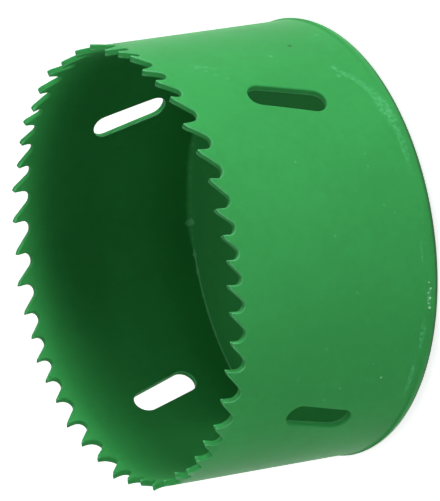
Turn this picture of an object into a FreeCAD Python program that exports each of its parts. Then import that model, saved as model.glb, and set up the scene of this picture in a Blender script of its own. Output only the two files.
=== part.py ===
import FreeCAD, Part
import math
import os

# Hole saw for a 3 1/4 inch (83 mm) hole: a toothed strip rolled into a ring, and a thick end cap
# that is pressed into the ring's back end and welded there. Millimetres. The origin is the centre
# of the cap's back face, +Z points along the axis to the teeth, and +X is the strip's joint.

cut_diameter = 82.55        # across the tips of the teeth that lean outwards
tooth_set = 0.45            # sideways lean of a set tooth, measured at its tip
wall = 1.27                 # thickness of the strip, 0.050 inch
overall_height = 44.45      # from the cap's back face to the tooth tips

# Teeth: the pitch swells and shrinks between 4 and 6 teeth an inch over a run of nine teeth
inch = 25.4
coarse_teeth_per_inch = 4.1
fine_teeth_per_inch = 5.7
pitch_cycle = 9             # teeth in one swell
cycle_start = 4             # place in the swell where the strip was cut
first_tip_azimuth = 2.25    # degrees from the joint to the first tip
set_order = (-1, 1, 0)      # round the ring: in, out, straight; +1 leans outwards
gullet_depth_ratio = 0.54   # of the tooth's own pitch
gullet_radius_ratio = 0.25
tip_land = 0.2              # blunt flat left on each tip
facet_ratio = 0.13          # length of the small facet behind the tip
facet_angle = 24.0          # degrees below the tips' plane
rake_angle = 6.0            # undercut of the tooth's front face, degrees
bend_share = 0.9            # how far down its shallower gullet a tooth starts to lean

# Slots through the ring, for a screwdriver that levers the cut plug out
slot_length = 15.0
slot_width = 4.8
slot_lean = 17.8            # degrees, the toothed end of the slot lies further round
slot_centre_height = 22.0
slot_azimuths = (26.3, 117.9, 214.3, 297.0)

# End cap
cap_thickness = 6.35
cap_corner_radius = 3.5     # outside, round the back edge
seam_height = 3.0           # the ring's foot; the corner ends here, just short of a full quarter round
bead_proud = 0.3            # the weld's ridge stands this far out of the ring
bead_run = 1.6              # and fades out over this height above the seam
plug_gap = 0.05             # between the cap's plug and the ring, all round
bore_diameter = 14.55       # inside diameter of a 5/8-18 thread
bore_chamfer = 0.9
pin_hole_diameter = 6.6
pin_circle_diameter = 28.6
pin_hole_count = 4

overcut = 1.0               # how far a cutting tool runs past what it cuts

ring_outer = cut_diameter / 2 - tooth_set
ring_inner = ring_outer - wall
strip_radius = ring_outer - wall / 2
axis_point = FreeCAD.Vector(0, 0, 0)
axis_up = FreeCAD.Vector(0, 0, 1)


def at(radius, height):
    """A point of a section in the XZ plane."""
    return FreeCAD.Vector(radius, 0, height)


def line(start, end):
    return Part.LineSegment(start, end).toShape()


def arc(start, middle, end):
    return Part.Arc(start, middle, end).toShape()


def turned(edges, degrees=360.0):
    """Solid turned round the axis from a closed section."""
    return Part.Face(Part.Wire(edges)).revolve(axis_point, axis_up, degrees)


def polygon(points):
    return [line(a, b) for a, b in zip(points, points[1:] + points[:1])]


def radial_prism(points_to_edges, azimuth):
    """Push a face drawn in (round the ring, up) through the wall along the radius at azimuth.

    points_to_edges takes a function that turns (sideways, height) into a point, and gives the edges.
    """
    near = ring_inner - tooth_set - overcut
    edges = points_to_edges(lambda sideways, height: FreeCAD.Vector(near, sideways, height))
    depth = ring_outer + tooth_set + overcut - near
    prism = Part.Face(Part.Wire(edges)).extrude(FreeCAD.Vector(depth, 0, 0))
    prism.rotate(axis_point, axis_up, azimuth)
    return prism


def tooth_steps():
    """Angle from each tip to the next, in degrees; the swells close up to a full turn."""
    coarse = inch / coarse_teeth_per_inch
    fine = inch / fine_teeth_per_inch
    mean = (coarse + fine) / 2
    swing = (coarse - fine) / 2
    strip_length = 2 * math.pi * strip_radius
    set_groups = round(strip_length / mean / len(set_order))
    count = max(set_groups, 1) * len(set_order)
    pitches = []
    for index in range(count):
        place = 2 * math.pi * (index + cycle_start) / pitch_cycle
        pitches.append(mean + swing * math.cos(place))
    return [360.0 * pitch / sum(pitches) for pitch in pitches]


class Gullet:
    """The gap between one tip and the next, drawn flat: the first tip is at (0, 0)."""

    def __init__(self, step):
        self.pitch = 2 * strip_radius * math.sin(math.radians(step) / 2)
        self.depth = gullet_depth_ratio * self.pitch
        self.radius = gullet_radius_ratio * self.pitch
        rake = math.radians(rake_angle)
        drop = self.depth - self.radius
        self.centre_x = (self.radius - drop * math.sin(rake)) / math.cos(rake)
        self.centre_z = -drop

    def edges(self, point):
        """Outline of what is cut away; point turns (sideways, height) into a point."""
        rake = math.radians(rake_angle)
        fall = math.radians(facet_angle)
        facet = facet_ratio * self.pitch
        land_edge = self.pitch - tip_land
        facet_start = (land_edge - facet, -facet * math.tan(fall))
        front = (self.centre_x - self.radius * math.cos(rake),
                 self.centre_z + self.radius * math.sin(rake))
        reach_x = facet_start[0] - self.centre_x
        reach_z = facet_start[1] - self.centre_z
        turn = math.atan2(reach_z, reach_x) - math.acos(self.radius / math.hypot(reach_x, reach_z))
        ramp = (self.centre_x + self.radius * math.cos(turn),
                self.centre_z + self.radius * math.sin(turn))
        bottom = (self.centre_x, self.centre_z - self.radius)
        above_front = (overcut * math.tan(rake), overcut)
        past_tip = (land_edge + overcut / 4, overcut / 4 * math.tan(fall))
        above_tip = (past_tip[0], overcut)
        half = self.pitch / 2
        shape = [above_front, front, bottom, ramp, facet_start, past_tip, above_tip]
        above_front, front, bottom, ramp, facet_start, past_tip, above_tip = [
            point(x - half, overall_height + z) for x, z in shape]
        return [line(above_front, front), arc(front, bottom, ramp), line(ramp, facet_start),
                line(facet_start, past_tip), line(past_tip, above_tip), line(above_tip, above_front)]


def tooth_blank(lean, root, start, end):
    """Sector of the ring's toothed edge, leaning in or out above its root."""
    base = crown_base()
    shift = lean * tooth_set
    section = polygon([at(ring_inner, base), at(ring_outer, base), at(ring_outer, root),
                       at(ring_outer + shift, overall_height), at(ring_inner + shift, overall_height),
                       at(ring_inner, root)])
    blank = turned(section, end - start)
    blank.rotate(axis_point, axis_up, start)
    return blank


def crown_base():
    """Height where the plain ring ends and the toothed edge starts."""
    coarse = inch / coarse_teeth_per_inch
    return overall_height - gullet_depth_ratio * coarse - overcut


def toothed_edge():
    """Every tooth's blank, leaning by its set, with the gullets cut out between them."""
    steps = tooth_steps()
    gullets = [Gullet(step) for step in steps]
    tips = [first_tip_azimuth + sum(steps[:index]) for index in range(len(steps))]
    bottoms = [tip + math.degrees(gullet.centre_x / strip_radius) for tip, gullet in zip(tips, gullets)]
    blanks = []
    cutters = []
    for index, gullet in enumerate(gullets):
        before = index - 1
        start = bottoms[before] - (360.0 if index == 0 else 0.0)
        root = overall_height - bend_share * min(gullet.depth, gullets[before].depth)
        lean = set_order[index % len(set_order)]
        blanks.append(tooth_blank(lean, root, start, bottoms[index]))
        cutters.append(radial_prism(gullet.edges, tips[index] + steps[index] / 2))
    edge = blanks[0].multiFuse(blanks[1:])
    return edge.cut(Part.makeCompound(cutters))


def slot_edges(point):
    """Outline of one slot, leaning round the ring, about its own centre height."""
    lean = math.radians(slot_lean)
    half_width = slot_width / 2
    half_run = slot_length / 2 - half_width

    def place(along, across):
        sideways = along * math.sin(lean) + across * math.cos(lean)
        height = along * math.cos(lean) - across * math.sin(lean)
        return point(sideways, slot_centre_height + height)

    top_left = place(half_run, -half_width)
    top_right = place(half_run, half_width)
    low_right = place(-half_run, half_width)
    low_left = place(-half_run, -half_width)
    return [arc(top_left, place(half_run + half_width, 0), top_right), line(top_right, low_right),
            arc(low_right, place(-half_run - half_width, 0), low_left), line(low_left, top_left)]


def saw_ring():
    """The rolled strip: plain wall, toothed edge and slots."""
    base = crown_base()
    wall_section = polygon([at(ring_inner, seam_height), at(ring_outer, seam_height),
                            at(ring_outer, base), at(ring_inner, base)])
    ring = turned(wall_section).fuse(toothed_edge())
    slots = [radial_prism(slot_edges, azimuth) for azimuth in slot_azimuths]
    return ring.cut(Part.makeCompound(slots)).removeSplitter()


def end_cap():
    """Turned cap: rounded back edge, weld ridge over the seam, plug inside the ring, tapped bore."""
    plug_radius = ring_inner - plug_gap
    rim_radius = ring_outer + bead_proud
    bore_radius = bore_diameter / 2
    corner_turn = math.acos(1 - seam_height / cap_corner_radius)
    corner_centre = rim_radius - cap_corner_radius * math.sin(corner_turn)
    corner_middle = at(corner_centre + cap_corner_radius * math.sin(corner_turn / 2),
                       cap_corner_radius * (1 - math.cos(corner_turn / 2)))
    corners = [
        at(bore_radius + bore_chamfer, 0),
        at(corner_centre, 0),
        at(rim_radius, seam_height),
        at(ring_outer, seam_height + bead_run),
        at(ring_outer, seam_height),
        at(plug_radius, seam_height),
        at(plug_radius, cap_thickness),
        at(bore_radius, cap_thickness),
        at(bore_radius, bore_chamfer),
    ]
    edges = polygon(corners)
    edges[1] = arc(corners[1], corner_middle, corners[2])
    cap = turned(edges)
    return cap.cut(Part.makeCompound([pin_hole(index) for index in range(pin_hole_count)]))


def pin_hole(index):
    """The drill that cuts one drive pin hole."""
    depth = cap_thickness + 2 * overcut
    start = FreeCAD.Vector(pin_circle_diameter / 2, 0, -overcut)
    hole = Part.makeCylinder(pin_hole_diameter / 2, depth, start, axis_up)
    hole.rotate(axis_point, axis_up, 360.0 * index / pin_hole_count)
    return hole


def save(name, shape):
    assert shape.isValid() and len(shape.Solids) == 1, name
    shape.exportStep("parts/" + name + ".step")
    print(name, "volume", round(shape.Volume, 1), "faces", len(shape.Faces))


os.makedirs("parts", exist_ok=True)
save("toothed_ring", saw_ring())
save("end_cap", end_cap())
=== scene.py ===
import math

import bpy
import numpy as np
from mathutils import Matrix, Vector
from mathutils.geometry import delaunay_2d_cdt


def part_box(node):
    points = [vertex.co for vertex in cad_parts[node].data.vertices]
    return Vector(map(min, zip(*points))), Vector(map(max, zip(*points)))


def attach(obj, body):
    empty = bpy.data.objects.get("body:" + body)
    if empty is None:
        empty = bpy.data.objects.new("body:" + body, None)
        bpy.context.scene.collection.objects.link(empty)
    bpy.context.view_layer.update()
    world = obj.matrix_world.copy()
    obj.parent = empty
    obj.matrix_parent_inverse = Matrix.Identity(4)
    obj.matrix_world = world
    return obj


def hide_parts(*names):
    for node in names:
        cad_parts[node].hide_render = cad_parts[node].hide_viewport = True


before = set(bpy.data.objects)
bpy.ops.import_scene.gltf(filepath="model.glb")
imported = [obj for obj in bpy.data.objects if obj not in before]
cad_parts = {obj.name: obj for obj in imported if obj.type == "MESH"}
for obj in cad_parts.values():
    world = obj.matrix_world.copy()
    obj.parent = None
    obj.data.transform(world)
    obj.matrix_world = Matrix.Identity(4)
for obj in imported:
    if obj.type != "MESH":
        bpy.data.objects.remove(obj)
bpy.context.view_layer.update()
print("frame loaded:", sorted(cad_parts))

mm = 0.001
inch = 25.4                     # mm
fullTurn = 2 * math.pi
quarterSteps = (0, 30, 60, 90)  # degrees, rows of a small rounded edge
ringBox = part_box("toothed_ring")
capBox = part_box("end_cap")


# Surfaces in millimetres: points with their normals and edge wear (on the outer weld also painted glints),
# joined by faces

meshSizes = {
    "perMm": 1000,             # points that round to the same thousandth of a millimetre are one
    "flatGap": 1e-7,           # points of a flat drawing closer than this are one
    "leastArea": 1e-9,         # flat triangles of less than half of this are dropped
}


class Skin:
    def __init__(self):
        self.points = []
        self.normals = []
        self.edges = []
        self.faces = []
        self.known = {}

    def add(self, points, normals, edge):
        # a point that is there already is used again, so neighbours join up
        ids = []
        for point, normal, wear in zip(points, normals, np.broadcast_to(edge, len(points))):
            key = tuple(np.round(np.asarray(point) * meshSizes["perMm"]).astype(int))
            if key not in self.known:
                self.known[key] = len(self.points)
                self.points.append(tuple(point))
                self.normals.append(tuple(normal))
                self.edges.append(float(wear))
            ids.append(self.known[key])
        return np.array(ids)

    def strip(self, low, high):
        # both rows close up, or end on the same points
        for a, b, c, d in zip(low, np.roll(low, -1), np.roll(high, -1), high):
            face = list(dict.fromkeys([int(a), int(b), int(c), int(d)]))
            if len(face) > 2:
                self.faces.append(face)

    def grid(self, rows, edge):
        # rows of points round the axis, in order along the profile
        along = np.roll(rows, -1, axis=1) - np.roll(rows, 1, axis=1)
        normals = np.cross(along, np.gradient(rows, axis=0))
        normals /= np.linalg.norm(normals, axis=2, keepdims=True)
        ids = [self.add(*row) for row in zip(rows, normals, edge)]
        for low, high in zip(ids, ids[1:]):
            self.strip(low, high)

    def build(self, name):
        mesh = bpy.data.meshes.new(name)
        mesh.from_pydata([Vector(p) * mm for p in self.points], [], self.faces)
        mesh.validate()
        mesh.polygons.foreach_set("use_smooth", [True] * len(mesh.polygons))
        layer = mesh.attributes.new("edge", "FLOAT", "POINT")
        layer.data.foreach_set("value", np.array(self.edges, np.float32))
        mesh.normals_split_custom_set_from_vertices(self.normals)
        piece = bpy.data.objects.new(name, mesh)
        bpy.context.scene.collection.objects.link(piece)
        print(name, "faces", len(mesh.polygons))
        return piece


def turns(count):
    # angles of so many points round the axis
    return np.arange(count) * fullTurn / count


def ringOf(turn, radius, height):
    # points round the axis; the radius and the height may change on the way
    return np.column_stack([np.cos(turn) * radius, np.sin(turn) * radius,
                            np.broadcast_to(height, turn.shape)])


def circle(radius, count, centre=(0.0, 0.0)):
    return ringOf(turns(count), radius, 0)[:, :2] + centre


def insideLoop(points, loop):
    x, y = points[:, 0], points[:, 1]
    inside = np.zeros(len(points), bool)
    for (x0, y0), (x1, y1) in zip(loop, np.roll(loop, -1, axis=0)):
        if y0 != y1:
            inside ^= ((y0 > y) != (y1 > y)) & (x < (x1 - x0) * (y - y0) / (y1 - y0) + x0)
    return inside


def fillFlat(outer, holes, inner):
    # triangles inside the outer loop, outside the holes, through the inner points
    loops = [outer] + holes
    links = []
    start = 0
    for loop in loops:
        links += [(start + i, start + (i + 1) % len(loop)) for i in range(len(loop))]
        start += len(loop)
    vectors = [Vector(p) for p in np.vstack(loops + [inner])]
    found, _, triangles, *_ = delaunay_2d_cdt(vectors, links, [], 0, meshSizes["flatGap"])
    points = np.array([tuple(p) for p in found])
    triangles = np.array(triangles)
    middles = points[triangles].mean(axis=1)
    keep = insideLoop(middles, outer)
    for hole in holes:
        keep &= ~insideLoop(middles, hole)
    triangles = triangles[keep]
    a, b, c = (points[triangles[:, k]] for k in range(3))
    area = (b[:, 0] - a[:, 0]) * (c[:, 1] - a[:, 1]) - (b[:, 1] - a[:, 1]) * (c[:, 0] - a[:, 0])
    triangles[area < 0] = triangles[area < 0][:, ::-1]
    return points, triangles[np.abs(area) > meshSizes["leastArea"]]


def distanceTo(points, outline):
    # shortest way from each point to a line of close points
    return np.array([np.sqrt(((outline - p) ** 2).sum(axis=1).min()) for p in points])


# Ring: the strip is drawn flat (along, up), then rolled

ringSizes = {
    "bead": 0.3,               # the weld stands this far out of the ring
    "wall": 1.27,
    "set": 0.45,               # sideways lean of a set tooth at its tip
    "coarse": 4.1,             # teeth an inch where they are widest, and where they are closest
    "fine": 5.7,
    "cycle": 9,                # teeth in one swell of the pitch
    "cycleStart": 4,           # place of the first tooth in its swell
    "count": 48,
    "firstTip": 2.25,          # degrees from +X
    "setOrder": (-1, 1, 0),    # in, out, straight
    "depth": 0.54,             # a gullet's depth, as a share of its pitch
    "bottom": 0.25,            # and the radius of its bottom
    "land": 0.2,
    "facet": 0.13,             # length of the facet behind a tip, as a share of the pitch
    "facetAngle": 24.0,
    "rake": 6.0,
    "bend": 0.9,               # how far down its shallower gullet a tooth starts to lean
    "slotLength": 15.0,
    "slotWidth": 4.8,
    "slotLean": 17.8,
    "slotHeight": 22.0,
    "slots": (26.3, 117.9, 214.3, 297.0),
    # how far the paint rounds an edge: along the face, into the wall outside, and inside
    "toothRounding": (0.3, 0.3, 0.28),
    "tipRounding": 0.4,        # share of it at the tips, and the depth over which it grows to the whole
    "tipReach": 0.9,
    "slotRounding": (0.34, 0.3, 0.12),
    "toothWear": (1.15, 0.55),     # how light the outside and inside corners are
    "tipWear": 2.4,            # times lighter at the tips
    "slotWear": (0.2, 1.3),
    "innerLine": 0.35,         # how far into the wall the inside corner's light line reaches
    "wallWear": 0.6,           # how light the faces are right at an edge, less 1 for each wearWidth away
    "wearWidth": 0.45,
    "cornerRadius": 0.17,      # of the arcs in place of the teeth's sharp corners
    "sharpFrom": 30,           # degrees that such a corner turns at least
    "cornerStep": 25,          # and that each step of its arc turns, roughly
    "gulletPoints": 11,        # points along a gullet's round bottom and a slot's round end
    "slotPoints": 17,
    "step": 0.9,               # spacing of the points along the strip, and up its two ends
    "endStep": 2.4,
    "innerFrom": 2.4,          # rows of points on the wall: the first, and their spacing
    "innerStep": 1.6,
    "edgeStep": 0.15,          # spacing at which the distance to an edge is measured
    "nearClear": 0.9,          # wear widths that the points beside an edge keep from every edge
    "innerClear": 1.6,         # and that the rows of points keep
    "endClear": 0.2,           # mm that the points beside an edge keep from the strip's ends
}
ringOuter = capBox[1].x / mm - ringSizes["bead"]
ringInner = ringOuter - ringSizes["wall"]
stripRadius = (ringOuter + ringInner) / 2
stripLength = fullTurn * stripRadius
toothTop = ringBox[1].z / mm
ringFoot = ringBox[0].z / mm


def toothPitches():
    # the pitch swells and shrinks, and the whole closes up to a full turn
    coarse = inch / ringSizes["coarse"]
    fine = inch / ringSizes["fine"]
    place = fullTurn * (np.arange(ringSizes["count"]) + ringSizes["cycleStart"]) / ringSizes["cycle"]
    pitches = (coarse + fine) / 2 + (coarse - fine) / 2 * np.cos(place)
    return pitches / pitches.sum() * stripLength


def gulletLine(pitch):
    # from one tip down the front, round the bottom and up the ramp to the next tip
    size = ringSizes
    rake = math.radians(size["rake"])
    fall = math.tan(math.radians(size["facetAngle"]))
    depth = size["depth"] * pitch
    radius = size["bottom"] * pitch
    facet = size["facet"] * pitch
    centre = np.array([(radius - (depth - radius) * math.sin(rake)) / math.cos(rake), radius - depth])
    landEdge = pitch - size["land"]
    facetStart = np.array([landEdge - facet, -facet * fall])
    reach = facetStart - centre
    turn = math.atan2(reach[1], reach[0]) - math.acos(radius / math.hypot(*reach))
    angles = np.linspace(math.pi - rake, turn + fullTurn, size["gulletPoints"])
    arc = centre + radius * np.column_stack([np.cos(angles), np.sin(angles)])
    return np.vstack([[0, 0], arc, facetStart, [landEdge, 0]]), centre[0]


def softened(line, radius):
    # small arcs in place of the sharp corners
    out = [line[0]]
    for before, corner, after in zip(line, line[1:], line[2:]):
        first = (corner - before) / np.linalg.norm(corner - before)
        second = (after - corner) / np.linalg.norm(after - corner)
        turn = math.atan2(first[0] * second[1] - first[1] * second[0], first @ second)
        if abs(turn) < math.radians(ringSizes["sharpFrom"]):
            out.append(corner)
            continue
        back = radius * math.tan(abs(turn) / 2)
        side = math.copysign(radius, turn)
        centre = corner - first * back + side * np.array([-first[1], first[0]])
        steps = max(2, round(abs(turn) / math.radians(ringSizes["cornerStep"])))
        start = math.atan2(first[1], first[0])
        for angle in start + turn * np.arange(steps + 1) / steps:
            out.append(centre + side * np.array([math.sin(angle), -math.cos(angle)]))
    return np.array(out + [line[-1]])


def spaced(line, longest):
    out = []
    for a, b in zip(line, line[1:]):
        count = max(1, math.ceil(np.linalg.norm(b - a) / longest))
        out += [a + (b - a) * k / count for k in range(count)]
    return np.array(out + [line[-1]])


def closedUp(loop):
    return np.vstack([loop, loop[:1]])


def lineNormals(line, closed):
    # to the left of the way along the line, half way between its two runs
    after = np.roll(line, -1, axis=0) if closed else np.vstack([line[1:], 2 * line[-1] - line[-2]])
    runs = (after - line) / np.linalg.norm(after - line, axis=1, keepdims=True)
    before = np.roll(runs, 1, axis=0)
    if not closed:
        before[0] = runs[0]
    normals = np.column_stack([-(runs + before)[:, 1], (runs + before)[:, 0]])
    return normals / np.linalg.norm(normals, axis=1, keepdims=True)


def toothedLine():
    # from one gullet's bottom to the same gullet's bottom a turn later
    pitches = toothPitches()
    firstTip = math.radians(ringSizes["firstTip"]) * stripRadius
    starts = firstTip + np.concatenate([[0], np.cumsum(pitches)[:-1]])
    lines, bottoms = [], []
    for start, pitch in zip(starts, pitches):
        line, bottom = gulletLine(pitch)
        lines.append(line + [start, toothTop])
        bottoms.append(start + bottom)
    last = lines[-1]
    low = int(np.argmin(last[:, 1]))
    head = last[low:] - [stripLength, 0]
    line = np.vstack([head] + lines[:-1] + [last[:low + 1]])
    line = spaced(softened(line, ringSizes["cornerRadius"]), ringSizes["step"])
    normals = lineNormals(line, False)
    normals[0] = normals[-1] = (0, 1)
    return line, normals, np.array(bottoms), pitches


toothLine, toothOut, gulletBottoms, gulletPitches = toothedLine()


def toothLean(flat):
    # how far each point is bent out, and how steeply
    last = gulletBottoms[-1]
    depths = ringSizes["depth"] * gulletPitches
    roots = toothTop - ringSizes["bend"] * np.minimum(depths, np.roll(depths, 1))
    along = (flat[:, 0] - last) % stripLength + last - stripLength
    tooth = np.searchsorted(gulletBottoms, along) % len(gulletBottoms)
    lean = np.array(ringSizes["setOrder"])[tooth % len(ringSizes["setOrder"])] * ringSizes["set"]
    slope = lean / (toothTop - roots[tooth])
    raised = np.maximum(flat[:, 1] - roots[tooth], 0)
    return slope * raised, np.where(raised > 0, slope, 0.0)


def slotLoop(azimuth):
    lean = math.radians(ringSizes["slotLean"])
    radius = ringSizes["slotWidth"] / 2
    half = ringSizes["slotLength"] / 2 - radius
    loop = []
    for end in (1, -1):
        for turn in np.linspace(math.pi / 2, -math.pi / 2, ringSizes["slotPoints"]):
            loop.append((radius * math.sin(turn) * end, (half + radius * math.cos(turn)) * end))
    across, along = np.transpose(loop)
    side = along * math.sin(lean) + across * math.cos(lean) + math.radians(azimuth) * stripRadius
    up = along * math.cos(lean) - across * math.sin(lean) + ringSizes["slotHeight"]
    loop = spaced(closedUp(np.column_stack([side, up])), ringSizes["step"])[:-1]
    return loop, lineNormals(loop, True)


def ringSlots():
    # a slot past the end of the drawing is moved back by a turn
    slots = []
    for azimuth in ringSizes["slots"]:
        loop, out = slotLoop(azimuth)
        if loop[:, 0].mean() > toothLine[-1, 0]:
            loop = loop - [stripLength, 0]
        slots.append((loop, out))
    return slots


def rolled(flat, radius):
    return ringOf(flat[:, 0] / stripRadius, radius, flat[:, 1])


def rolledWay(flat, outward, along, up):
    turn = flat[:, 0] / stripRadius
    ways = np.column_stack([outward * np.cos(turn) - along * np.sin(turn),
                            outward * np.sin(turn) + along * np.cos(turn), np.broadcast_to(up, len(flat))])
    return ways / np.linalg.norm(ways, axis=1, keepdims=True)


def drawRing(slots, foot, tipShare):
    # the flat drawing of the strip, short of its rounded edges
    size = ringSizes
    left, right = foot[0, 0], foot[-1, 0]
    toothInset, slotInset = size["toothRounding"][0], size["slotRounding"][0]
    endHeights = np.arange(ringFoot, toothLine[0, 1] - toothInset, size["endStep"])[1:]
    rightEnd = [(right, z) for z in endHeights]
    leftEnd = [(left, z) for z in endHeights[::-1]]
    teeth = toothLine - toothOut * toothInset * tipShare
    outer = np.vstack([foot, rightEnd, teeth[::-1], leftEnd])
    holes = [loop - out * slotInset for loop, out in slots]

    lines = [toothLine] + [closedUp(loop) for loop, _ in slots]
    everyEdge = np.vstack([spaced(line, size["edgeStep"]) for line in lines])
    near = np.vstack([chain - out * size["wearWidth"] for chain, out in [(toothLine, toothOut)] + slots])
    clear = distanceTo(near, everyEdge) > size["nearClear"] * size["wearWidth"]
    clear &= (near[:, 0] > left + size["endClear"]) & (near[:, 0] < right - size["endClear"])
    heights = np.arange(ringFoot + size["innerFrom"], toothTop, size["innerStep"])
    inner = np.array([(x, z) for x in foot[1:-1, 0] for z in heights])
    inner = inner[distanceTo(inner, everyEdge) > size["innerClear"] * size["wearWidth"]]
    flat, triangles = fillFlat(outer, holes, np.vstack([near[clear], inner]))
    edge = np.clip(size["wallWear"] - distanceTo(flat, everyEdge) / size["wearWidth"], 0, 1)
    return flat, triangles, edge


def addWalls(skin, flat, triangles, edge):
    shift, slope = toothLean(flat)
    way = rolledWay(flat, 1, 0, -slope)
    outside = skin.add(rolled(flat, ringOuter + shift), way, edge)
    inside = skin.add(rolled(flat, ringInner + shift), -way, edge)
    skin.faces += [outside[t].tolist() for t in triangles]
    skin.faces += [inside[t][::-1].tolist() for t in triangles]


def addRoundedEdge(skin, chain, out, share, light, rounding, worn):
    # from the outside face, over the edge and through the wall, to the inside face
    inset, dropOutside, dropInside = rounding
    rows = []
    for side, face, drop, wornHere, angles in ((1, ringOuter, dropOutside, worn[0], quarterSteps),
                                               (-1, ringInner, dropInside, worn[1], quarterSteps[::-1])):
        if side < 0:           # the light line of the inside corner starts on the wall
            bent, _ = toothLean(chain)
            middle = rolled(chain, ringInner + dropInside + ringSizes["innerLine"] + bent)
            rows.append(skin.add(middle, rolledWay(chain, 0, out[:, 0], out[:, 1]), 0))
        for angle in np.radians(angles):
            placed = chain - out * share * inset * (1 - math.sin(angle))
            bent, steep = toothLean(placed)
            radius = face - side * drop * (1 - math.cos(angle)) + bent
            outward = side * inset * math.cos(angle)
            away = drop * math.sin(angle)
            normal = rolledWay(placed, outward, away * out[:, 0], away * out[:, 1] - outward * steep)
            wear = light * wornHere * math.sin(2 * angle if side > 0 else angle)
            rows.append(skin.add(rolled(placed, radius), normal, wear))
    for low, high in zip(rows, rows[1:]):
        skin.strip(low, high)


def buildRing():
    size = ringSizes
    slots = ringSlots()
    left, right = toothLine[0, 0], toothLine[-1, 0]
    columns = np.linspace(left, right, round((right - left) / size["step"]) + 1)
    foot = np.column_stack([columns, np.full(len(columns), ringFoot)])
    below = np.clip((toothTop - toothLine[:, 1:]) / size["tipReach"], 0, 1)
    tipShare = size["tipRounding"] + (1 - size["tipRounding"]) * below
    tipLight = size["tipWear"] + (1 - size["tipWear"]) * below[:, 0]

    skin = Skin()
    addWalls(skin, *drawRing(slots, foot, tipShare))
    addRoundedEdge(skin, toothLine, toothOut, tipShare, tipLight, size["toothRounding"], size["toothWear"])
    for loop, out in slots:
        addRoundedEdge(skin, loop, out, 1.0, 1.0, size["slotRounding"], size["slotWear"])
    down = rolledWay(foot[:-1], 0, 0, -1)
    skin.strip(*(skin.add(rolled(foot[:-1], radius), down, 0) for radius in (ringInner, ringOuter)))
    return skin.build("saw_ring")


ring = buildRing()
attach(ring, "root")
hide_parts("toothed_ring")


# End cap: turned profile with its weld, flat faces with the holes, tapped bore

capSizes = {
    "thickness": 6.35,
    "corner": 3.5,
    "seam": 3.0,               # height where the corner meets the weld
    "weldRun": 1.0,            # height of the weld above the seam, and the places of its rows in it
    "weldRows": (0.1, 0.2, 0.3, 0.4, 0.5, 0.65, 0.8, 1.0),
    "weldBulge": 0.38,         # how high up in it the weld has fallen to about a third
    "weldUneven": (0.2, 0.06),     # shares by which its height and its bulge vary
    "weldSink": 0.02,          # how far both welds run into the ring
    "weldWear": (0.35, 0.5),   # how light it is on the whole, and by how much that varies
    "glints": (56.5, 62.5),    # painted glints on the outer weld, coarser than its wear, from and to
    "glintFade": 3,            # it fades in over 1/3 degree
    "glintBeat": 7.0,          # and has a grain every pi/7 degrees
    # uneven beat along a weld: waves in a turn, and their share; a seed for each weld
    "ripple": ((7, 0.2), (23, 0.2), (61, 0.25), (143, 0.35)),
    "outerSeed": 3.0,
    "innerSeed": 8.0,
    "seedPhase": 1.7,          # seeds by which the first wave is moved; each next one is a seed further
    # inner weld: azimuth, and how far it reaches along the floor and up the ring
    "fillet": ((0, 0.6), (215, 0.7), (228, 1.25), (250.0, 1.25), (255.5, 0.9), (257.5, 0.35),
               (295, 0.35), (305, 0.6), (360, 0.6)),
    "filletUneven": 0.2,
    # lumps in it: azimuth, extra reach, width in degrees
    "lumps": ((249.5, 0.35, 0.9), (258.6, 0.45, 0.6), (263.5, 0.25, 0.5), (270.5, 0.15, 0.4)),
    "lumpWear": 2.0,           # how light they are
    # how light the inner weld is: at no reach, less for each mm, by how much it varies
    "filletWear": (1.25, 0.5, 0.3),
    "narrowWear": (0.8, 3, 5),     # lighter where it is narrow: by how much, from 3/5 mm down to 2/5 mm
    "bore": 7.275,
    "boreChamfer": 0.9,
    "threadDepth": 0.62,
    "threadsPerInch": 18,
    "crest": 0.2,              # share of a thread that is flat at its crest
    "flank": 0.65,             # and that its flanks take
    "pin": 3.3,
    "pinCircle": 14.3,
    "pinCount": 4,
    "rounding": 0.15,          # how far the paint rounds the holes' edges
    "mouthSlope": 2,           # the bore's mouth widens by this for each mm up
    "holeWear": (0.6, 1, 1, 0.6),  # how light a pin hole's edge is, row by row
    "boreWear": (0.5, 0.7, 0.5),   # how light the bore is: rims, back end, and less by this 1 mm further in
    "columns": 720,            # points round the rim, the bore and a pin hole
    "boreColumns": 96,
    "pinColumns": 40,
    "cornerRows": 13,          # rows of points on the round corner, the inner weld and the thread
    "filletRows": 7,
    "threadRows": 91,
    "spread": (10, 36.5, 2.4),     # circles of points on the flat faces: from, to and apart
    "spreadStep": 2.5,         # spacing of the points along them
    "pinClear": 0.8,           # and how far they keep from a pin hole
}
rimRadius = capBox[1].x / mm
capTop = capSizes["thickness"]
boreMouth = capSizes["bore"] + capSizes["threadDepth"]
boreBack = capSizes["bore"] + capSizes["boreChamfer"]
pinPlaces = circle(capSizes["pinCircle"], capSizes["pinCount"])


def turnedRows(profile, columns):
    return [ringOf(turns(columns), radius, height) for radius, height in profile]


def ripple(turn, seed):
    # between -1 and 1, closing up after a turn
    beat = 0
    for k, (waves, share) in enumerate(capSizes["ripple"]):
        beat = beat + share * np.sin(waves * turn + seed * (k + capSizes["seedPhase"]))
    return beat


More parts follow.
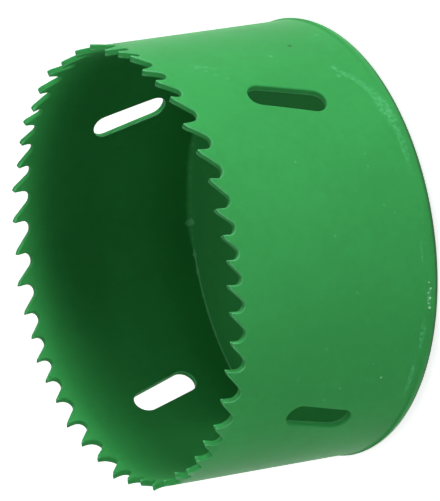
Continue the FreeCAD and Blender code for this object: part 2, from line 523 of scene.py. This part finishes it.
def addCornerAndWeld(skin, turn, uneven):
    # the round back corner, then the weld over the seam
    size = capSizes
    end = math.acos(1 - size["seam"] / size["corner"])
    corner = []
    for angle in np.linspace(0, end, size["cornerRows"]):
        corner.append((rimRadius - size["corner"] * (math.sin(end) - math.sin(angle)),
                       size["corner"] * (1 - math.cos(angle))))
    rows = turnedRows(corner, len(turn))
    wear = [0] * len(rows)
    degrees = np.degrees(turn)
    glints = np.minimum(degrees - size["glints"][0], size["glints"][1] - degrees)
    paintedGlints = np.clip(size["glintFade"] * glints, 0, 1) * np.sin(degrees * size["glintBeat"]) ** 2
    foot = ringOuter - size["weldSink"]
    fallen = math.exp(-(1 / size["weldBulge"]) ** 2)
    for share in size["weldRows"]:
        height = size["seam"] + size["weldRun"] * share * (1 + size["weldUneven"][0] * uneven)
        bulge = math.exp(-(share / size["weldBulge"]) ** 2) - fallen
        lift = bulge * (1 - size["weldUneven"][1] * (1 - uneven))
        rows.append(ringOf(turn, foot + (rimRadius - foot) * np.minimum(lift, 1), height))
        # the weld's thin paint, plus painted glints in the glints range
        light = size["weldWear"][0] + size["weldWear"][1] * uneven + paintedGlints
        wear.append(math.sin(math.pi * share) * np.clip(light, 0, 1))
    skin.grid(np.array(rows), wear)
    return corner[0][0]


def addInnerWeld(skin, turn, uneven):
    # a low fillet, lumpy
    size = capSizes
    degrees = np.degrees(turn)
    reach = np.interp(degrees, *np.transpose(size["fillet"]))
    reach = reach * (1 + size["filletUneven"] * ripple(turn, size["innerSeed"]))
    lumpWear = 0
    for azimuth, extra, width in size["lumps"]:
        lump = np.exp(-((degrees - azimuth) / width) ** 2)
        reach = reach + extra * lump
        lumpWear = lumpWear + size["lumpWear"] * lump
    most, less, varied = size["filletWear"]
    extraLight, narrowFrom, narrowLess = size["narrowWear"]
    light = np.clip(most - less * reach + varied * uneven, 0, 1)
    light = light * (1 + extraLight * np.clip(narrowFrom - narrowLess * reach, 0, 1))
    rows, wear = [], []
    for angle in np.linspace(0, math.pi / 2, size["filletRows"])[::-1]:
        radius = ringInner + size["weldSink"] - reach * (1 - math.sin(angle))
        rows.append(ringOf(turn, radius, capTop + reach * (1 - math.cos(angle))))
        wear.append(math.sin(2 * angle) * (light + lumpWear))
    skin.grid(np.array(rows), wear)
    return rows[-1][:, :2]


def addFlatFaces(skin, backEdge, floorEdge):
    size = capSizes
    rounding = size["rounding"]
    spread = np.vstack([circle(radius, round(fullTurn * radius / size["spreadStep"]))
                        for radius in np.arange(*size["spread"])])
    for pin in pinPlaces:
        spread = spread[np.linalg.norm(spread - pin, axis=1) > size["pin"] + size["pinClear"]]
    pins = [circle(size["pin"] + rounding, size["pinColumns"], pin) for pin in pinPlaces]
    for height, outer, hole, way in ((0.0, backEdge, boreBack, -1), (capTop, floorEdge, boreMouth, 1)):
        bore = circle(hole + rounding, size["boreColumns"])
        points, triangles = fillFlat(outer, [bore] + pins, spread)
        placed = np.column_stack([points, np.full(len(points), height)])
        ids = skin.add(placed, np.tile([0, 0, way], (len(points), 1)), 0)
        skin.faces += [ids[t][::way].tolist() for t in triangles]


def addPinHoles(skin):
    size = capSizes
    edge = []                  # outwards from the wall, and down from the face
    for angle in np.radians(quarterSteps):
        edge.append((size["rounding"] * (1 - math.sin(angle)), size["rounding"] * (1 - math.cos(angle))))
    profile = [(size["pin"] + out, capTop - down) for out, down in edge]
    profile += [(size["pin"] + out, down) for out, down in edge[::-1]]
    for pin in pinPlaces:
        wall = np.array(turnedRows(profile, size["pinColumns"])) + [pin[0], pin[1], 0]
        skin.grid(wall, size["holeWear"] * 2)


def addBore(skin):
    # the thread runs through, and the countersink cuts it at the back
    size = capSizes
    turn = turns(size["boreColumns"])
    pitch = inch / size["threadsPerInch"]
    start = capTop - size["rounding"]
    rimWear, backWear, lessInside = size["boreWear"]
    rows = [ringOf(turn, boreMouth + size["rounding"], capTop)]
    wear = [rimWear]
    for height in np.linspace(start, 0, size["threadRows"]):
        place = (height / pitch - turn / fullTurn) % 1
        flank = np.clip((np.abs(place - 0.5) * 2 - size["crest"]) / size["flank"], 0, 1)
        radius = np.maximum(size["bore"] + size["threadDepth"] * flank, boreBack - height)
        radius = np.maximum(radius, boreMouth - size["mouthSlope"] * (start - height))
        rows.append(ringOf(turn, radius, height))
        wear.append(backWear - lessInside * min(height, 1))
    rows.append(ringOf(turn, boreBack + size["rounding"], 0))
    skin.grid(np.array(rows), wear + [rimWear])


def buildCap():
    skin = Skin()
    turn = turns(capSizes["columns"])
    uneven = ripple(turn, capSizes["outerSeed"])
    backRadius = addCornerAndWeld(skin, turn, uneven)
    floorEdge = addInnerWeld(skin, turn, uneven)
    addFlatFaces(skin, circle(backRadius, len(turn)), floorEdge)
    addPinHoles(skin)
    addBore(skin)
    return skin.build("saw_cap")


cap = buildCap()
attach(cap, "root")
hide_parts("end_cap")


# Paint

class Socket:
    def __init__(self, nodes, socket):
        self.nodes = nodes
        self.socket = socket

    def math(self, operation, *others):
        return self.nodes.make("Math", {"operation": operation}, dict(enumerate((self,) + others)))

    def __add__(self, other):
        return self.math("ADD", other)

    def __sub__(self, other):
        return self.math("SUBTRACT", other)

    def __rsub__(self, other):
        return self.math("MULTIPLY_ADD", -1.0, other)

    def __mul__(self, other):
        return self.math("MULTIPLY", other)

    __radd__ = __add__
    __rmul__ = __mul__

    def ramp(self, low, high, bottom=0.0, top=1.0):
        # from bottom at low to top at high, smoothly, and level outside
        values = {"Value": self, "From Min": low, "From Max": high, "To Min": bottom, "To Max": top}
        return self.nodes.make("MapRange", {"interpolation_type": "SMOOTHSTEP"}, values)


class Nodes:
    def __init__(self, owner):
        owner.use_nodes = True
        self.tree = owner.node_tree
        self.tree.nodes.clear()

    def make(self, kind, settings=None, values=None, out=0):
        # one node: its settings first, then what its sockets hold
        node = self.tree.nodes.new("ShaderNode" + kind)
        for name, value in (settings or {}).items():
            setattr(node, name, value)
        for name, value in (values or {}).items():
            if isinstance(value, Socket):
                self.tree.links.new(value.socket, node.inputs[name])
            else:
                node.inputs[name].default_value = value
        return Socket(self, node.outputs[out]) if len(node.outputs) else None

    def noise(self, place, scale, detail, rough):
        values = {"Vector": place, "Scale": scale, "Detail": detail, "Roughness": rough}
        return self.make("TexNoise", None, values)

    def mix(self, factor, a, b):
        # the sockets for colours have the same names as the others, so they go by number
        return self.make("Mix", {"data_type": "RGBA"}, {0: factor, 6: a, 7: b}, out=2)


paintSizes = {
    "deep": (0.042, 0.320, 0.080, 1),
    "plain": (0.046, 0.350, 0.088, 1),
    "thin": (0.14, 0.50, 0.23, 1),       # where the paint is thin, on edges and nibs; also the painted glints on the outer weld
    # the colour of scuffs, also used for a painted glint on the outer weld
    "scuffedAndGlint": (0.13, 0.56, 0.24, 1),
    "bareAndGlint": (0.50, 0.80, 0.55, 1),       # painted glints on the outer weld, and a fleck where the paint is almost gone
    # dirt specks and stains, and the painted shade on the cap's corner
    "dirtAndShade": (0.008, 0.055, 0.016, 1),
    "roughness": 0.36,
    "rougher": {"mottle": 0.16, "fine": 0.05, "worn": 0.08},   # how much each of these adds
    "specular": 0.03,
    # scale a millimetre, detail, roughness
    "noise": {"broad": (0.06, 3.0, 0.5), "mottle": (0.5, 4.0, 0.6), "peel": (1.6, 2.0, 0.5),
              "specks": (2.2, 2.0, 0.5), "fine": (9.0, 2.0, 0.5), "patches": (1.3, 3.0, 0.65),
              "dust": (3.1, 1.0, 0.5)},
    "depthShares": {"broad": 0.6, "mottle": 0.4},
    # where each noise starts and ends, and how much it gives
    "depthRamp": (0.35, 0.65),
    "patchRamp": (0.32, 0.70),
    "dustRamp": (0.755, 0.80, 0.0, 0.3),
    "speckRamp": (0.74, 0.80, 0.0, 0.3),
    "wornRamp": (0.4, 1.2, 0.0, 0.85),
    "wornMottle": (0.3, 1.1),  # wear at no mottle, and more with it
    "nibShare": 0.75,
    "mostThin": 0.8,           # where marks meet they never cover more than this
    "mostScuffAndGlint": 0.9,
    "bump": {"peel": 0.020, "fine": 0.004, "mottle": 0.03, "nibs": 0.08, "dust": 0.04},
    "bumpStrength": 0.6,
    # nibs and runs in the ring's paint: azimuth, height, radius in mm, how light
    "nibs": (
        (134.5, 19.2, 0.5, 0.5), (126.0, 9.2, 0.7, 0.5), (122.7, 9.4, 0.6, 0.45), (121.1, 7.2, 0.5, 0.4),
        (142.5, 6.0, 0.6, 0.3), (98.7, 26.4, 0.35, 0.35), (94.8, 12.1, 0.3, 0.4), (98.2, 11.9, 0.3, 0.35),
        (84.3, 10.9, 0.35, 0.35), (81.9, 8.9, 0.3, 0.35), (78.5, 22.0, 0.4, 0.35), (63.3, 18.4, 0.35, 0.3),
        (49.4, 24.4, 0.35, 0.3), (37.6, 11.2, 0.4, 0.7), (42.4, 13.6, 0.3, 0.3), (36.3, 19.7, 0.35, 0.6),
        (33.1, 22.4, 0.3, 0.6), (41.6, 29.4, 0.5, 0.2), (134.0, 35.0, 0.6, 0.25), (132.0, 33.8, 0.5, 0.25),
        (129.8, 32.6, 0.5, 0.25), (127.6, 31.0, 0.5, 0.2), (301.0, 14.0, 0.4, 0.4), (205.0, 27.0, 0.5, 0.4),
    ),
    # scuffed streaks, and at 59 degrees a painted glint on the outer weld: azimuth, height, half width, how
    # light, how many times longer, lean in degrees
    "smearsAndGlint": (
        (110.0, 4.2, 1.5, 0.6, 4.0, 8), (99.0, 3.6, 0.8, 0.45, 6.0, 0), (123.5, 8.2, 0.7, 0.45, 4.0, 30),
        (59.0, 3.2, 0.35, 0.9, 6.0, 0), (49.0, 4.0, 0.6, 0.8, 6.0, 0), (36.0, 4.6, 0.6, 0.6, 9.0, 0),
        (134.0, 33.5, 0.6, 0.3, 5.0, 60), (119.0, 6.0, 1.0, 0.4, 4.0, 20), (71.0, 4.4, 0.4, 0.4, 6.0, 0),
    ),
    # painted glints on the outer weld and one bright fleck, then stains: the same as the nibs
    "glintsAndFlecks": ((63.0, 3.3, 0.2, 0.6), (61.4, 3.0, 0.26, 0.9), (60.2, 3.4, 0.2, 0.8), (58.9, 3.1, 0.24, 0.9),
               (57.5, 3.3, 0.2, 0.7), (56.3, 3.1, 0.3, 0.9), (37.6, 11.2, 0.22, 0.8)),
    "stains": ((138.4, 13.5, 0.5, 0.6),),
    "markFade": (0.4, 1.1),    # a mark fades out between these shares of its radius
    "outward": (0.5, 0.9),     # marks start this far out of the ring's inner face, so it has none
    "paintedShade": (1.2, 2.2, 0.75, 0.0),   # painted shade: the cap's corner is drawn darker below these heights
    "paintedShadeFrom": (37.4, 38.6),        # and from this far out
}


def paintMark(turn, up, azimuth, height, radius, share, length=1.0, lean=0.0):
    # a spot on the ring, longer along a line that leans; azimuths past 180 run on from -180
    perDegree = math.radians(1) * ringOuter
    away = (turn - (azimuth - 360 if azimuth > 180 else azimuth)) * perDegree
    rise = up - height
    if length > 1:
        cosine, sine = math.cos(math.radians(lean)), math.sin(math.radians(lean))
        away, rise = (away * cosine + rise * sine) * (1 / length), rise * cosine - away * sine
    gap = (away * away + rise * rise).math("SQRT")
    return gap.ramp(*(radius * fade for fade in paintSizes["markFade"]), share, 0.0)


def greenPaint(name):
    material = bpy.data.materials.new(name)
    nodes = Nodes(material)
    size = paintSizes
    place = nodes.make("VectorMath", {"operation": "SCALE"},
                       {0: nodes.make("TexCoord", out="Object"), "Scale": 1 / mm})
    across, side, up = (nodes.make("SeparateXYZ", None, {0: place}, out=axis) for axis in "XYZ")
    edge = nodes.make("Attribute", {"attribute_name": "edge"}, out="Fac")
    noise = {kind: nodes.noise(place, *values) for kind, values in size["noise"].items()}
    mottle = noise["mottle"]

    turn = side.math("ARCTAN2", across) * math.degrees(1)
    reach = (across * across + side * side).math("SQRT")
    outward = reach.ramp(*(ringInner + out for out in size["outward"]))

    def marks(rows):
        return sum(paintMark(turn, up, *row) for row in rows) * outward

    nibs = marks(size["nibs"]) * size["nibShare"]
    # scuffs, and one painted glint on the outer weld
    scuffsAndGlint = marks(size["smearsAndGlint"]) * noise["patches"].ramp(*size["patchRamp"])
    dust = noise["dust"].ramp(*size["dustRamp"])
    dirtAndShade = noise["specks"].ramp(*size["speckRamp"]) + marks(size["stains"])
    # painted shade: the cap's corner darker towards its bottom edge
    dirtAndShade = dirtAndShade + up.ramp(*size["paintedShade"]) * reach.ramp(*size["paintedShadeFrom"])
    # edge wear; on the outer weld the edge attribute also holds painted glints
    worn = (edge * (size["wornMottle"][0] + mottle * size["wornMottle"][1])).ramp(*size["wornRamp"])

    depth = sum(noise[kind] * share for kind, share in size["depthShares"].items()).ramp(*size["depthRamp"])
    colour = nodes.mix(depth, size["deep"], size["plain"])
    colour = nodes.mix(dirtAndShade, colour, size["dirtAndShade"])
    colour = nodes.mix((nibs + dust).math("MINIMUM", size["mostThin"]), colour, size["thin"])
    colour = nodes.mix(scuffsAndGlint.math("MINIMUM", size["mostScuffAndGlint"]), colour, size["scuffedAndGlint"])
    # painted glints on the outer weld, and one fleck, in the bare colour
    colour = nodes.mix(marks(size["glintsAndFlecks"]), colour, size["bareAndGlint"])
    colour = nodes.mix(worn, colour, size["thin"])

    rougher = {"mottle": mottle - 0.5, "fine": noise["fine"], "worn": worn}   # a noise lies round 0.5
    roughness = size["roughness"] + sum(rougher[kind] * share for kind, share in size["rougher"].items())
    relief = {**noise, "nibs": nibs, "dust": dust}
    height = sum(relief[kind] * share for kind, share in size["bump"].items())
    normal = nodes.make("Bump", None, {"Height": height, "Distance": mm, "Strength": size["bumpStrength"]})
    shader = nodes.make("BsdfPrincipled", None,
                        {"Base Color": colour, "Roughness": roughness, "Normal": normal,
                         "Specular IOR Level": size["specular"]})
    nodes.make("OutputMaterial", None, {"Surface": shader})
    return material


paint = greenPaint("green_paint")
for piece in (ring, cap):
    piece.data.materials.append(paint)
print("paint ready")


# Floor, light and camera

lightSizes = {
    "floor": 3.0,
    "floorHeight": -0.00002,   # a hair under the cap, so the two faces do not flicker
    "floorColour": (0.86, 0.86, 0.86, 1),
    "floorLift": 0.80,         # the floor's own white, for the camera and reflections only
    "white": (1, 1, 1, 1),
    "low": 6.5,                # sky along the horizon
    "lowSide": (-0.36, 0.34, 0),   # it is brighter this way and dimmer the other way
    "lowEdge": (0.02, 0.13),   # height over the horizon where it dims
    "overhead": 0.26,
    # name, place, size, watts
    "lamps": (("frontLamp", (-1.025, 1.221, 0.14), 0.28, 5.0),
              ("sideLamp", (-1.452, 0.529, 0.414), 0.8, 7.4),
              ("topLamp", (0.1, 0.1, 1.6), 0.4, 2.3)),
    "lampAim": (0, 0, 0.02),
}


def seenDirectly(nodes):
    # 1 for what the camera sees, also in a reflection or through glass
    rays = ("Is Camera Ray", "Is Glossy Ray", "Is Transmission Ray")
    return sum(nodes.make("LightPath", out=ray) for ray in rays).math("MINIMUM", 1.0)


def buildFloor():
    half, height = lightSizes["floor"], lightSizes["floorHeight"]
    mesh = bpy.data.meshes.new("floor")
    corners = [(-half, -half, height), (half, -half, height), (half, half, height), (-half, half, height)]
    mesh.from_pydata(corners, [], [(0, 1, 2, 3)])
    floor = bpy.data.objects.new("floor", mesh)
    bpy.context.scene.collection.objects.link(floor)
    material = bpy.data.materials.new("floor")
    nodes = Nodes(material)
    lift = seenDirectly(nodes) * lightSizes["floorLift"]
    plain = nodes.make("BsdfDiffuse", None, {"Color": lightSizes["floorColour"]})
    glow = nodes.make("Emission", None, {"Color": lightSizes["white"], "Strength": lift})
    both = nodes.make("AddShader", None, {0: plain, 1: glow})
    nodes.make("OutputMaterial", None, {"Surface": both})
    mesh.materials.append(material)


def buildWorld():
    world = bpy.data.worlds.new("studio")
    bpy.context.scene.world = world
    nodes = Nodes(world)
    seen = seenDirectly(nodes)
    # for light on things the sky is bright along the horizon and dim overhead, as in a low light tent
    way = nodes.make("TexCoord", out="Generated")
    up = nodes.make("SeparateXYZ", None, {0: way}, out="Z")
    side = nodes.make("VectorMath", {"operation": "DOT_PRODUCT"}, {0: way, 1: lightSizes["lowSide"]},
                      out="Value")
    low = (side + 1) * lightSizes["low"]
    fill = low + up.ramp(*lightSizes["lowEdge"]) * (lightSizes["overhead"] - low)
    strength = fill + seen * (1 - fill)
    sky = nodes.make("Background", None, {"Color": lightSizes["white"], "Strength": strength})
    nodes.make("OutputWorld", None, {"Surface": sky})


def lookingAt(place, aim):
    return (Vector(aim) - Vector(place)).to_track_quat("-Z", "Y")


def softLamp(name, place, size, power):
    data = bpy.data.lights.new(name, "AREA")
    data.size = size
    data.energy = power
    lamp = bpy.data.objects.new(name, data)
    lamp.location = place
    lamp.rotation_euler = lookingAt(place, lightSizes["lampAim"]).to_euler()
    bpy.context.scene.collection.objects.link(lamp)


cameraSizes = {
    "place": (0.187203, 0.965750, 0.572914),
    "aim": (-0.002170, -0.009691, 0.017395),
    "roll": -99.018,           # the photograph is turned, so the saw lies on its side in it
    "lens": 438.9,
    "sensor": 36.0,
    "clipEnd": 20,
}


def buildCamera():
    size = cameraSizes
    data = bpy.data.cameras.new("camera")
    data.lens = size["lens"]
    data.sensor_width = size["sensor"]
    data.clip_end = size["clipEnd"]
    camera = bpy.data.objects.new("camera", data)
    turn = lookingAt(size["place"], size["aim"]).to_matrix().to_4x4()
    roll = Matrix.Rotation(math.radians(size["roll"]), 4, "Z")
    camera.matrix_world = Matrix.Translation(size["place"]) @ turn @ roll
    bpy.context.scene.collection.objects.link(camera)
    bpy.context.scene.camera = camera


buildFloor()
buildWorld()
for lamp in lightSizes["lamps"]:
    softLamp(*lamp)
buildCamera()
bpy.context.scene.view_settings.view_transform = "Standard"
print("studio ready")
